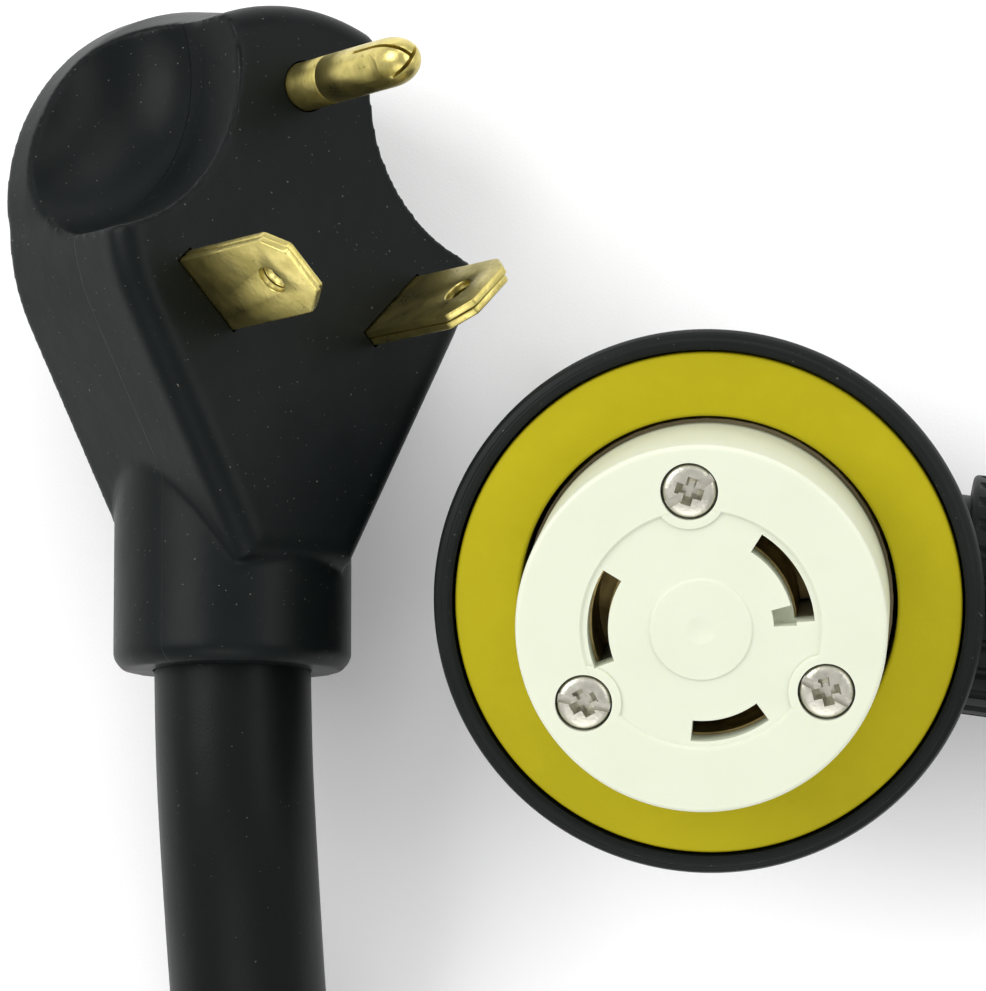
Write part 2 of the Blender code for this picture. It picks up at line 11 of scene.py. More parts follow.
import bmesh
import bpy
from mathutils import Matrix, Vector


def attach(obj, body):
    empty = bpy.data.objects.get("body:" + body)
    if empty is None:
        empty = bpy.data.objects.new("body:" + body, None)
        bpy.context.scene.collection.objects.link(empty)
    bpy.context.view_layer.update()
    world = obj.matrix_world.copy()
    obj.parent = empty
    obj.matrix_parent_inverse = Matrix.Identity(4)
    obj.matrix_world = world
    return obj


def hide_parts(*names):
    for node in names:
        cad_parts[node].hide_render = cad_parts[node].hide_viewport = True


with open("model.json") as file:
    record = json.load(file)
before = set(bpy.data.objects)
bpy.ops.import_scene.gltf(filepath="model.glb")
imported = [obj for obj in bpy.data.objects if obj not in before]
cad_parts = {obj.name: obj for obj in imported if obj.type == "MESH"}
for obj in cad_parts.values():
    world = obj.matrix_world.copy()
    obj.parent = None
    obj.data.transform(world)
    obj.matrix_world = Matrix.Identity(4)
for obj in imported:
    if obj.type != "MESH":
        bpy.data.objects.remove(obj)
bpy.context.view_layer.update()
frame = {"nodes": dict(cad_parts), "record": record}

MM = 0.001
record = frame["record"]

# %% [markdown]
# ## Two local frames
# Both ends lie tilted on the table, and a tilted part is awkward to draw in table coordinates. So each end
# gets a frame of its own, with z out of its contact face. The record's mounts give a point on each face and
# its direction, which is all that is needed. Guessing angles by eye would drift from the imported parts.

# %% Find the frames
PLUG_MOUNT_Y = 8.0 * MM
INSERT_FACE_Z = 16.0 * MM
mounts = {mount["name"]: mount for mount in record["mounts"]}


def frame_from(x_axis, y_axis, z_axis, origin):
    axes = Matrix((x_axis, y_axis, z_axis)).transposed().to_4x4()
    return Matrix.Translation(origin) @ axes


def plug_frame():
    z_axis = Vector(mounts["plug_face"]["axis"]).normalized()
    y_axis = z_axis.cross(Vector((1, 0, 0))).normalized()
    origin = Vector(mounts["plug_face"]["pos_m"]) - y_axis * PLUG_MOUNT_Y
    return frame_from(y_axis.cross(z_axis), y_axis, z_axis, origin)


def connector_frame():
    z_axis = Vector(mounts["connector_face"]["axis"]).normalized()
    x_axis = Vector((0, 1, 0)).cross(z_axis).normalized()
    origin = Vector(mounts["connector_face"]["pos_m"]) - z_axis * INSERT_FACE_Z
    return frame_from(x_axis, z_axis.cross(x_axis), z_axis, origin)


PLUG = plug_frame()
CONNECTOR = connector_frame()
print("plug at", PLUG.translation, "connector at", CONNECTOR.translation)

# %% [markdown]
# ## The camera
# The lead lies on a table and is seen from nearly straight above, with the plug's tip at the top of the
# view. A long lens from 0.6 m keeps round things round. Its length follows from the distance and from the
# width that has to fit, so it is worked out and not tuned.

# %% Set up the camera
VIEW_TARGET = Vector((-17.3, -6.1, 25.0)) * MM
VIEW_DISTANCE = 600 * MM
VIEW_ELEVATION = radians(86)
VIEW_HEIGHT = 110.0 * MM
SENSOR = 36.0

camera_data = bpy.data.cameras.new("camera")
camera_data.sensor_width = SENSOR
camera_data.lens = SENSOR * VIEW_DISTANCE / VIEW_HEIGHT
camera_data.clip_start = 0.01
camera = bpy.data.objects.new("camera", camera_data)
towards_camera = Vector((0, -cos(VIEW_ELEVATION), sin(VIEW_ELEVATION)))
camera.location = VIEW_TARGET + towards_camera * VIEW_DISTANCE
camera.rotation_euler = towards_camera.to_track_quat("Z", "Y").to_euler()
bpy.context.scene.collection.objects.link(camera)
bpy.context.scene.camera = camera
print("lens", round(camera_data.lens, 1), "mm")

# %% [markdown]
# ## The light
# Black plastic shows its shape only through what it reflects. Four wide soft panels stand round the table,
# with the strongest at the left, where it draws the long highlights along the plug's flank and the cord.
# Nothing hangs straight overhead, because every level black surface would mirror it and turn grey.

# %% Make the lights
PANELS = (
    # name, place, size, power in watts
    ("left_panel", (-1.0, 0.35, 1.0), 0.9, 13.0),
    ("right_panel", (1.0, 0.3, 0.95), 1.0, 8.0),
    ("back_panel", (0.1, 1.2, 0.95), 1.0, 7.0),
    ("front_panel", (-0.2, -1.2, 0.95), 1.0, 7.0),
)
WORLD_LIGHT = 0.6


def area_light(name, place, size, power):
    data = bpy.data.lights.new(name, "AREA")
    data.size = size
    data.energy = power
    light = bpy.data.objects.new(name, data)
    light.location = place
    light.rotation_euler = Vector(place).to_track_quat("Z", "Y").to_euler()
    bpy.context.scene.collection.objects.link(light)


for panel in PANELS:
    area_light(*panel)

world = bpy.data.worlds.new("studio")
world.use_nodes = True
world.node_tree.nodes["Background"].inputs["Color"].default_value = (1.0, 1.0, 1.0, 1.0)
world.node_tree.nodes["Background"].inputs["Strength"].default_value = WORLD_LIGHT
bpy.context.scene.world = world
bpy.context.scene.view_settings.view_transform = "Standard"
print(len(PANELS), "soft panels")

# %% [markdown]
# ## A short way to write shader maths
# A finish is easier to read as arithmetic than as a page of linked nodes. `Number` wraps one socket, and
# adding or multiplying it adds the Math node that does so. Colours never go through it, because a Math node
# would turn them grey. They go through Mix instead.


# %% Shader helpers
class Number:
    def __init__(self, finish, socket):
        self.finish = finish
        self.socket = socket

    def math(self, operation, first, second, clamp=False):
        sockets = {0: first, 1: second}
        made = self.finish.node("ShaderNodeMath", {"operation": operation, "use_clamp": clamp}, sockets)
        return Number(self.finish, made.outputs[0])

    def __add__(self, other):
        return self.math("ADD", self, other)

    def __sub__(self, other):
        return self.math("SUBTRACT", self, other)

    def __rsub__(self, other):
        return self.math("SUBTRACT", other, self)

    def __mul__(self, other):
        return self.math("MULTIPLY", self, other)

    def above(self, edge, width):
        """0 below the edge, 1 above it, with a ramp of the given width between."""
        return self.math("MULTIPLY", self - (edge - width / 2), 1 / width, clamp=True)

    __radd__ = __add__
    __rmul__ = __mul__


class Finish:
    """A Principled material, with one method that makes any node."""

    def __init__(self, name, colour, roughness, **constants):
        self.material = bpy.data.materials.new(name)
        self.material.use_nodes = True
        self.tree = self.material.node_tree
        self.shader = self.tree.nodes["Principled BSDF"]
        self.shader.inputs["Base Color"].default_value = (*colour, 1.0)
        self.shader.inputs["Roughness"].default_value = roughness
        for socket, value in constants.items():
            self.shader.inputs[socket.replace("_", " ")].default_value = value
        self.place = self.node("ShaderNodeTexCoord").outputs["Object"]

    def node(self, kind, settings=None, sockets=None):
        made = self.tree.nodes.new(kind)
        for name, value in (settings or {}).items():
            setattr(made, name, value)
        for name, value in (sockets or {}).items():
            if isinstance(value, Number):
                value = value.socket
            if isinstance(value, bpy.types.NodeSocket):
                self.tree.links.new(value, made.inputs[name])
            else:
                made.inputs[name].default_value = value
        return made

    def noise(self, grain, detail=2.0, roughness=0.5, stretch=None):
        """Noise with features of about the given size in metres."""
        where = self.place
        if stretch:
            where = self.node("ShaderNodeMapping", None, {"Vector": where, "Scale": stretch}).outputs[0]
        sockets = {"Vector": where, "Scale": 1 / grain, "Detail": detail, "Roughness": roughness}
        return Number(self, self.node("ShaderNodeTexNoise", None, sockets).outputs["Fac"])

    def along(self, place, row):
        """How far a point lies along one axis of a local frame, in metres."""
        axis = Vector(place.col[row][:3])
        dot = self.node("ShaderNodeVectorMath", {"operation": "DOT_PRODUCT"}, {0: self.place, 1: axis})
        return Number(self, dot.outputs["Value"]) - place.translation.dot(axis)

    def blend(self, factor, first, second):
        """A colour between two colours, each a tuple or a socket."""
        colours = [(*c, 1.0) if isinstance(c, tuple) else c for c in (first, second)]
        sockets = {"Factor": factor, 6: colours[0], 7: colours[1]}
        return self.node("ShaderNodeMix", {"data_type": "RGBA"}, sockets).outputs[2]

    def feed(self, name, source):
        source = source.socket if isinstance(source, Number) else source
        self.tree.links.new(source, self.shader.inputs[name])

    def bump(self, height, depth):
        """Feeds a height of 0 to 1, which stands for the given depth in metres, to the normal."""
        made = self.node("ShaderNodeBump", None, {"Height": height, "Distance": depth, "Strength": 1.0})
        self.feed("Normal", made.outputs["Normal"])


print("shader helpers ready")

# %% [markdown]
# ## Moulded black vinyl
# The plug head and the rear shell are soft black vinyl with a satin skin. Real mouldings are never even:
# the skin's gloss wanders over a centimetre or so, a very fine grain breaks up the highlight, and dust
# sticks to it as pale specks. Noise at three sizes gives all of that without an image. The plug also has a
# fine step where the two halves of its mould met, which is a sharp change of height along one plane.

# %% Make the vinyl finishes
PARTING_Z = -9.5 * MM


def vinyl(name, colour, roughness, parting=None):
    made = Finish(name, colour, roughness, Specular_IOR_Level=0.11)
    gloss = made.noise(9 * MM, 3.0)
    made.feed("Roughness", gloss * 0.16 + (roughness - 0.08))
    specks = made.noise(0.35 * MM, 1.0).above(0.775, 0.02)
    patches = made.noise(6 * MM, 2.0)
    tone = made.blend(patches, tuple(c * 0.75 for c in colour), tuple(c * 1.3 for c in colour))
    made.feed("Base Color", made.blend(specks * 0.35, tone, (0.3, 0.28, 0.24)))
    skin = made.noise(0.25 * MM, 3.0) * 0.10 + made.noise(4 * MM, 2.0) * 0.55
    if parting:
        skin = skin + made.along(parting, 2).above(PARTING_Z, 0.12 * MM) * 0.7
    made.bump(skin, 0.12 * MM)
    return made.material


moulded_black = vinyl("moulded_black", (0.0036, 0.0054, 0.0052), 0.40, PLUG)
shell_black = vinyl("shell_black", (0.0036, 0.0052, 0.0050), 0.44)
ring_black = vinyl("ring_black", (0.008, 0.0095, 0.0093), 0.42)
print("vinyl finishes:", moulded_black.name, shell_black.name, ring_black.name)

# %% [markdown]
# ## Cord jacket
# The cord's jacket is the same family of vinyl, drawn through a die. It is a little glossier, and it has
# the long soft ripples of the wires laid up inside it.

# %% Make the jacket finish
def jacket():
    made = Finish("cord_jacket", (0.0034, 0.0048, 0.0046), 0.4, Specular_IOR_Level=0.12)
    made.feed("Roughness", made.noise(12 * MM, 2.0) * 0.14 + 0.34)
    specks = made.noise(0.4 * MM, 1.0).above(0.79, 0.02)
    made.feed("Base Color", made.blend(specks * 0.3, (0.0034, 0.0048, 0.0046), (0.3, 0.28, 0.25)))
    made.bump(made.noise(0.3 * MM, 2.0) * 0.12 + made.noise(7 * MM, 1.0) * 0.7, 0.15 * MM)
    return made.material


cord_black = jacket()
print("cord finish:", cord_black.name)

# %% [markdown]
# ## Brass and steel
# The blades and the pin are rolled brass that has been handled: bright on its edges, dull olive in patches,
# with fine rolling lines. Tarnish changes both colour and gloss, so one noise drives the two together. The
# screws are plated steel with a warm grey cast.

# %% Make the metal finishes
def brass(name, bright, dull, roughness):
    made = Finish(name, bright, roughness, Metallic=1.0)
    tarnish = made.noise(3.5 * MM, 4.0, 0.6).above(0.5, 0.35)
    lines = made.noise(0.5 * MM, 2.0, 0.5, (1.0, 0.12, 1.0))
    tone = made.blend(tarnish, bright, dull)
    spots = made.noise(0.6 * MM, 2.0).above(0.7, 0.06)
    made.feed("Base Color", made.blend(spots * 0.5, tone, tuple(c * 0.35 for c in dull)))
    made.feed("Roughness", tarnish * 0.16 + roughness + spots * 0.1)
    made.bump(lines * 0.5 + made.noise(1.8 * MM, 2.0) * 0.6, 0.05 * MM)
    return made.material


blade_brass = brass("blade_brass", (0.66, 0.56, 0.20), (0.42, 0.36, 0.11), 0.27)
contact_brass = brass("contact_brass", (0.60, 0.47, 0.2), (0.3, 0.22, 0.09), 0.35)


def steel():
    made = Finish("screw_steel", (0.56, 0.54, 0.46), 0.3, Metallic=1.0)
    patches = made.noise(1.2 * MM, 3.0, 0.6)
    made.feed("Base Color", made.blend(patches, (0.42, 0.41, 0.34), (0.66, 0.64, 0.56)))
    made.feed("Roughness", patches * 0.2 + 0.26)
    made.bump(made.noise(0.3 * MM, 3.0), 0.03 * MM)
    return made.material


screw_steel = steel()
print("metals:", blade_brass.name, contact_brass.name, screw_steel.name)

# %% [markdown]
# ## Nylon and yellow plastic
# The white face is nylon. Light goes a little way into it, which softens every edge and warms the
# shadows, so it gets a small amount of scattering below the surface. The yellow front is an opaque matte
# plastic with slightly uneven pigment.

# %% Make the plastic finishes
def nylon(name, pale, warm, roughness):
    made = Finish(name, pale, roughness, Subsurface_Weight=0.25, Subsurface_Scale=1.2 * MM)
    made.shader.inputs["Subsurface Radius"].default_value = (1.0, 0.9, 0.55)
    made.feed("Base Color", made.blend(made.noise(7 * MM, 3.0), pale, warm))
    made.feed("Roughness", made.noise(3 * MM, 2.0) * 0.12 + (roughness - 0.06))
    made.bump(made.noise(0.35 * MM, 3.0) * 0.25 + made.noise(5 * MM, 2.0) * 0.4, 0.05 * MM)
    return made.material


def matte_plastic(name, first, second, roughness):
    made = Finish(name, first, roughness, Specular_IOR_Level=0.15)
    pigment = made.noise(5 * MM, 4.0, 0.6)
    made.feed("Base Color", made.blend(pigment, first, second))
    made.feed("Roughness", made.noise(2 * MM, 2.0) * 0.12 + (roughness - 0.06))
    made.bump(made.noise(0.3 * MM, 3.0) * 0.5 + made.noise(4 * MM, 2.0) * 0.4, 0.04 * MM)
    return made.material


white_nylon = nylon("white_nylon", (0.62, 0.645, 0.53), (0.57, 0.60, 0.47), 0.42)
tan_nylon = matte_plastic("tan_nylon", (0.36, 0.30, 0.19), (0.28, 0.23, 0.14), 0.55)
yellow_plastic = matte_plastic("yellow_plastic", (0.40, 0.345, 0.004), (0.35, 0.295, 0.003), 0.6)
gasket_rubber = matte_plastic("gasket_rubber", (0.07, 0.07, 0.07), (0.05, 0.05, 0.05), 0.8)
wire_black = matte_plastic("wire_black", (0.02, 0.02, 0.02), (0.015, 0.015, 0.015), 0.45)
wire_white = matte_plastic("wire_white", (0.75, 0.75, 0.71), (0.68, 0.68, 0.62), 0.45)
wire_green = matte_plastic("wire_green", (0.02, 0.22, 0.06), (0.015, 0.17, 0.04), 0.45)
table_top = matte_plastic("table_top", (0.97, 0.97, 0.97), (0.96, 0.96, 0.96), 0.9)
print("plastics ready")

# %% [markdown]
# ## Shapes from loops of points
# Nearly every part here is turned or moulded, so one function lofts a skin through rows of points. A turned
# part is a loft through circles, and a moulded one is a loft through outlines. Real edges are never sharp,
# so `softened` swaps each corner of a profile for a small arc before it is turned.


# %% Shape helpers
def arc(radius, start, end, count, centre=(0.0, 0.0)):
    """Points on an arc, from start to end in degrees."""
    angles = [radians(start + (end - start) * i / (count - 1)) for i in range(count)]
    return [(centre[0] + radius * cos(a), centre[1] + radius * sin(a)) for a in angles]


def arc_band(inner, outer, start, end, count=25):
    return arc(outer, start, end, count) + arc(inner, end, start, count)


def softened(points, radius, count=4, closed=True):
    """The outline with each corner rounded, as far as its two sides allow."""
    corners = [Vector(p) for p in points]
    result = []
    for i, corner in enumerate(corners):
        if not closed and i in (0, len(corners) - 1):
            result.append(tuple(corner))
            continue
        before = corners[i - 1] - corner
        after = corners[(i + 1) % len(corners)] - corner
        reach = min(radius, before.length * 0.45, after.length * 0.45)
        start = corner + before.normalized() * reach
        end = corner + after.normalized() * reach
        for k in range(count + 1):
            t = k / count
            result.append(tuple(start * (1 - t) ** 2 + corner * 2 * t * (1 - t) + end * t * t))
    return result


def shade(obj, degrees):
    """Smooth shading, with a crisp edge wherever two faces meet at more than the given angle."""
    obj.data.shade_smooth()
    obj.data.set_sharp_from_angle(angle=radians(degrees))


def mesh_object(name, bm, finish, place=None):
    bmesh.ops.recalc_face_normals(bm, faces=bm.faces[:])
    if place is not None:
        bm.transform(place)
    mesh = bpy.data.meshes.new(name)
    bm.to_mesh(mesh)
    bm.free()
    made = bpy.data.objects.new(name, mesh)
    bpy.context.scene.collection.objects.link(made)
    shade(made, 35)
    if finish is not None:
        mesh.materials.append(finish)
    return made


def loft(name, loops, finish=None, place=None, wrap=False):
    bm = bmesh.new()
    rows = [[bm.verts.new(point) for point in loop] for loop in loops]
    following = rows[1:] + [rows[0]] if wrap else rows[1:]
    for row, after in zip(rows, following):
        for i in range(len(row)):
            j = (i + 1) % len(row)
            bm.faces.new((row[i], row[j], after[j], after[i]))
    if not wrap:
        bm.faces.new(rows[0][::-1])
        bm.faces.new(rows[-1])
    return mesh_object(name, bm, finish, place)


def turned(name, profile, finish=None, place=None, wrap=False, steps=128, ribs=None):
    """A turned part from (radius, z) points. ribs(angle, z, radius) can move a point in or out."""
    loops = []
    for radius, z in profile:
        loop = []
        for i in range(steps):
            angle = 2 * pi * i / steps
            r = radius + (ribs(angle, z, radius) if ribs else 0.0)
            loop.append((r * cos(angle), r * sin(angle), z))
        loops.append(loop)
    return loft(name, loops, finish, place, wrap)


def prism(name, outline, low, high, finish=None, place=None):
    loops = [[(x, y, z) for x, y in outline] for z in (low, high)]
    return loft(name, loops, finish, place)


def box(name, low, high, place=None):
    outline = [(low[0], low[1]), (high[0], low[1]), (high[0], high[1]), (low[0], high[1])]
    return prism(name, outline, low[2], high[2], None, place)


def along(start, direction):
    turn = Vector(direction).to_track_quat("Z", "Y").to_matrix().to_4x4()
    return Matrix.Translation(start) @ turn


def apply_modifiers(obj):
    """Swaps the object's mesh for the one that its modifiers give."""
    graph = bpy.context.evaluated_depsgraph_get()
    mesh = bpy.data.meshes.new_from_object(obj.evaluated_get(graph))
    obj.modifiers.clear()
    obj.data = mesh


def cut(body, *tools, operation="DIFFERENCE"):
    """Cuts or joins the tools, one by one, and removes them."""
    for tool in tools:
        step = body.modifiers.new("cut", "BOOLEAN")
        step.operation = operation
        step.solver = "EXACT"
        step.object = tool
        apply_modifiers(body)
        bpy.data.objects.remove(tool, do_unlink=True)


EDGE_ANGLE_DEGREES = 38


def edge_round(obj, width, segments):
    step = obj.modifiers.new("edge", "BEVEL")
    step.width = width
    step.segments = segments
    step.limit_method = "ANGLE"
    step.angle_limit = radians(EDGE_ANGLE_DEGREES)
    step.harden_normals = False
    apply_modifiers(obj)
    shade(obj, 40)


def stands_for(obj, body, slot, *nodes):
    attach(obj, body)
    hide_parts(*nodes)
    print(obj.name, "stands for", ", ".join(nodes), "with", len(obj.data.vertices), "points")


print("shape helpers ready")

# %% [markdown]
# ## The plug head
# The head is a teardrop: a round top with straight sides that run down to the collar. Two finger scoops
# bite into its flanks from the front, so a thumb and finger can pull it, and leave a thin flange behind,
# which swells a little towards its back. The skin is moulded vinyl, so every edge is soft and every
# junction is blended. Cutting plain shapes and then remeshing at a fraction of a millimetre gives that
# blend. Bevels on the cut mesh would fail where the curved edges meet.

# %% Build the plug head
HEAD_R = 24.2 * MM
HEAD_CENTRE_Y = 9.1 * MM
HEAD_DEPTH = 23.3 * MM
HEAD_TAPER_DEGREES = 28
HEAD_FOOT_Y = -29.0 * MM
HEAD_FRONT_ROUND = 3.0 * MM
HEAD_BACK_ROUND = 0.7 * MM
HEAD_FLARE = 2.0 * MM
SCOOP_R = 19.1 * MM
SCOOP_X = 27.9 * MM
SCOOP_Y = 24.8 * MM
SCOOP_DEPTH = 18.6 * MM
SCOOP_FILLET = 11.0 * MM
COLLAR_R = 13.2 * MM
COLLAR_Z = -14.2 * MM
COLLAR_END_Y = -39.8 * MM
COLLAR_CHAMFER = 1.1 * MM
COLLAR_DOME = 12.0 * MM
CORD_R = 8.7 * MM
SKIN_VOXEL = 0.38 * MM
SKIN_SMOOTHING = 5


def head_outline(inset):
    radius = HEAD_R - inset
    outline = arc(radius, -HEAD_TAPER_DEGREES, 180 + HEAD_TAPER_DEGREES, 97, (0.0, HEAD_CENTRE_Y))
    corner_x, corner_y = outline[0]
    foot_y = HEAD_FOOT_Y + inset
    foot_x = corner_x - (corner_y - foot_y) * tan(radians(HEAD_TAPER_DEGREES))
    return outline + [(-foot_x, foot_y), (foot_x, foot_y)]


def flared(outline, z):
    """Swells the top of the outline towards the back, where the finger flange stands proud."""
    amount = HEAD_FLARE * min(1.0, max(0.0, (-z - 8 * MM) / (SCOOP_DEPTH - 8 * MM)))
    points = []
    for x, y in outline:
        rise = min(1.0, max(0.0, (y - HEAD_CENTRE_Y) / HEAD_R)) ** 0.6
        scale = 1 + amount * rise / HEAD_R
        points.append((x * scale, HEAD_CENTRE_Y + (y - HEAD_CENTRE_Y) * scale, z))
    return points


def quarter(count):
    return [radians(90 * i / count) for i in range(count + 1)]


def head_block():
    layers = [(-HEAD_DEPTH + HEAD_BACK_ROUND * (1 - sin(a)), HEAD_BACK_ROUND * (1 - cos(a)))
              for a in reversed(quarter(4))]
    layers += [(-SCOOP_DEPTH + MM * i, 0.0) for i in range(12)]
    layers += [(HEAD_FRONT_ROUND * (sin(a) - 1), HEAD_FRONT_ROUND * (1 - cos(a))) for a in quarter(8)]
    return loft("plug_head", [flared(head_outline(inset), z) for z, inset in layers], moulded_black, PLUG)


def collar():
    length = -COLLAR_END_Y
    profile = [(COLLAR_R - COLLAR_CHAMFER, 0.0), (COLLAR_R - 0.3 * MM, COLLAR_CHAMFER * 0.8),
               (COLLAR_R, COLLAR_CHAMFER * 1.4)]
    for a in quarter(10)[:-1]:
        profile.append((COLLAR_R * cos(a), length - COLLAR_DOME + COLLAR_DOME * sin(a)))
    return turned("collar", profile, None, PLUG @ along((0, COLLAR_END_Y, COLLAR_Z), (0, 1, 0)), steps=96)


def scoop(side):
    profile = [(SCOOP_R, 2 * MM)]
    for a in quarter(14):
        profile.append((SCOOP_R - SCOOP_FILLET * (1 - cos(a)), -SCOOP_DEPTH + SCOOP_FILLET * (1 - sin(a))))
    place = PLUG @ Matrix.Translation((side * SCOOP_X, SCOOP_Y, 0))
    return turned("scoop", profile, None, place, steps=160)


def soften_skin(obj, voxel, passes):
    remesh = obj.modifiers.new("skin", "REMESH")
    remesh.mode = "VOXEL"
    remesh.voxel_size = voxel
    smooth = obj.modifiers.new("smooth", "SMOOTH")
    smooth.factor = 0.5
    smooth.iterations = passes
    apply_modifiers(obj)
    obj.data.shade_smooth()


plug_head = head_block()
cut(plug_head, collar(), operation="UNION")
cut(plug_head, scoop(-1), scoop(1))
soften_skin(plug_head, SKIN_VOXEL, SKIN_SMOOTHING)
print("plug head skin:", len(plug_head.data.polygons), "faces")

# %% [markdown]
# The blades and the pin come out through close openings in the face, and the cord goes into a bore in the
# collar. These edges are crisp on the real part, so they are cut after the skin has been softened.

# %% Cut the openings in the plug head
BLADE_X = 12.2 * MM
BLADE_WIDTH = 9.9 * MM
BLADE_THICK = 1.9 * MM
BLADE_LENGTH = 18.2 * MM
BLADE_ANGLE = radians(45)
GROUND_Y = 23.9 * MM
GROUND_R = 2.7 * MM
CONTACT_BACK = -12.0 * MM
CONTACT_CLEARANCE = 0.2 * MM


def blade_place(side):
    turn = Matrix.Rotation(pi / 2 - side * BLADE_ANGLE, 4, "Z")
    return PLUG @ Matrix.Translation((side * BLADE_X, 0, 0)) @ turn


half_width = BLADE_WIDTH / 2 + CONTACT_CLEARANCE
half_thick = BLADE_THICK / 2 + CONTACT_CLEARANCE
for side in (-1, 1):
    low = (-half_width, -half_thick, CONTACT_BACK - MM)
    cut(plug_head, box("blade_opening", low, (half_width, half_thick, MM), blade_place(side)))
pin_profile = [(GROUND_R + CONTACT_CLEARANCE, CONTACT_BACK - MM), (GROUND_R + CONTACT_CLEARANCE, MM)]
pin_place = PLUG @ Matrix.Translation((0, GROUND_Y, 0))
cut(plug_head, turned("pin_opening", pin_profile, None, pin_place, steps=48))
BORE_R = CORD_R + 0.15 * MM
bore_place = PLUG @ along((0, COLLAR_END_Y - MM, COLLAR_Z), (0, 1, 0))
cut(plug_head, turned("cord_bore", [(BORE_R, 0), (BORE_R, 9 * MM)], None, bore_place, steps=96))
shade(plug_head, 40)
stands_for(plug_head, "adapter", "moulded_black", "plug_body")

# %% [markdown]
# ## Folded blades
# Each blade is one strip of brass folded flat on itself, which is why its edges show two layers with a
# hairline between them. The front layer stops a little short of the tip. Two thin leaves, each with its own
# rounded edges, show this better than one thick bar with a painted line.

# %% Build the blades
LEAF_GAP = 0.16 * MM
TIP_STEP = 0.7 * MM
TIP_CHAMFER = 2.1 * MM
TIP_DROP = 3.0 * MM
BLADE_HOLE_R = 1.65 * MM
BLADE_HOLE_Z = 12.6 * MM


def leaf(name, low, high, shorter, place):
    half, top = BLADE_WIDTH / 2, BLADE_LENGTH - shorter
    outline = [(-half, CONTACT_BACK), (half, CONTACT_BACK),
               (half, top - TIP_DROP), (half - TIP_CHAMFER, top),
               (-half + TIP_CHAMFER, top), (-half, top - TIP_DROP)]
    made = prism(name, softened(outline, 0.35 * MM, 3), low, high, blade_brass, place)
    hole = turned("hole", [(BLADE_HOLE_R, low - MM), (BLADE_HOLE_R, high + MM)], None,
                  place @ Matrix.Translation((0, BLADE_HOLE_Z, 0)), steps=48)
    cut(made, hole)
    edge_round(made, 0.16 * MM, 3)
    return made


def join(name, first, second):
    bm = bmesh.new()
    bm.from_mesh(first.data)
    bm.from_mesh(second.data)
    mesh = bpy.data.meshes.new(name)
    bm.to_mesh(mesh)
    bm.free()
    mesh.materials.append(first.data.materials[0])
    for old in (first, second):
        bpy.data.objects.remove(old, do_unlink=True)
    made = bpy.data.objects.new(name, mesh)
    bpy.context.scene.collection.objects.link(made)
    shade(made, 40)
    return made


def folded_blade(name, side):
    place = blade_place(side) @ Matrix.Rotation(pi / 2, 4, "X")
    front = leaf("front", LEAF_GAP / 2, BLADE_THICK / 2, TIP_STEP, place)
    back = leaf("back", -BLADE_THICK / 2, -LEAF_GAP / 2, 0.0, place)
    return join(name, front, back)


for name, side in (("hot", -1), ("neutral", 1)):
    stands_for(folded_blade(f"{name}_folded_blade", side), "adapter", "brass", f"{name}_blade")

# %% [markdown]
# ## The ground pin
# The round pin is rolled from sheet brass, so its nose is closed by folding: a slit runs up one side, a
# second crosses the tip, and a flat is pressed in beside it. The nose is a blunt bullet. The slits are thin
# boxes cut out of a turned pin, and the flat is a cut by a cylinder that lies across the pin.

# %% Build the ground pin
GROUND_LENGTH = 20.3 * MM
NOSE_LENGTH = 4.2 * MM
SLIT = 0.42 * MM
LONG_SLIT_LENGTH = 8 * MM
LONG_SLIT_TURN = radians(148)
CROSS_SLIT_DEPTH = 2.2 * MM
CROSS_SLIT_TURN = radians(60)
FLAT_TURN = radians(200)


def ground_pin():
    shoulder = GROUND_LENGTH - NOSE_LENGTH
    profile = [(GROUND_R, CONTACT_BACK), (GROUND_R, 5.3 * MM), (GROUND_R - 0.1 * MM, 5.45 * MM),
               (GROUND_R, 5.6 * MM), (GROUND_R, shoulder * 0.6), (GROUND_R, shoulder)]
    for a in quarter(12)[1:-1]:
        profile.append((GROUND_R * cos(a) ** 0.8, shoulder + NOSE_LENGTH * sin(a)))
    pin = turned("ground_pin_rolled", profile, blade_brass, pin_place, steps=96)
    reach = 2 * GROUND_R
    high = (reach, SLIT / 2, GROUND_LENGTH + MM)
    long_low = (0, -SLIT / 2, GROUND_LENGTH - LONG_SLIT_LENGTH)
    long_slit = box("long_slit", long_low, high, pin_place @ Matrix.Rotation(LONG_SLIT_TURN, 4, "Z"))
    cross_low = (-reach, -SLIT / 2, GROUND_LENGTH - CROSS_SLIT_DEPTH)
    cross_slit = box("cross_slit", cross_low, high, pin_place @ Matrix.Rotation(CROSS_SLIT_TURN, 4, "Z"))
    flat_turn = pin_place @ Matrix.Rotation(FLAT_TURN, 4, "Z")
    flat_start = flat_turn @ Matrix.Translation((GROUND_R + 3.2 * MM, -3 * MM, GROUND_LENGTH - 4.6 * MM))
    flat = turned("pressed_flat", [(3.6 * MM, 0), (3.6 * MM, 6 * MM)], None,
                  flat_start @ Matrix.Rotation(-pi / 2, 4, "X"), steps=64)
    cut(pin, flat, long_slit, cross_slit)
    edge_round(pin, 0.1 * MM, 2)
    return pin


stands_for(ground_pin(), "adapter", "brass", "ground_pin")

# %% [markdown]
# ## The cord
# The cord is 17.4 mm across and stiff, so it can't turn tighter than about four of its own diameters. It
# leaves the collar level, sinks to the table, swings round in one open loop, and climbs into the
# connector's strain relief. The route below repeats the frame's own, in millimetres, and a smooth curve
# through it carries a round section.

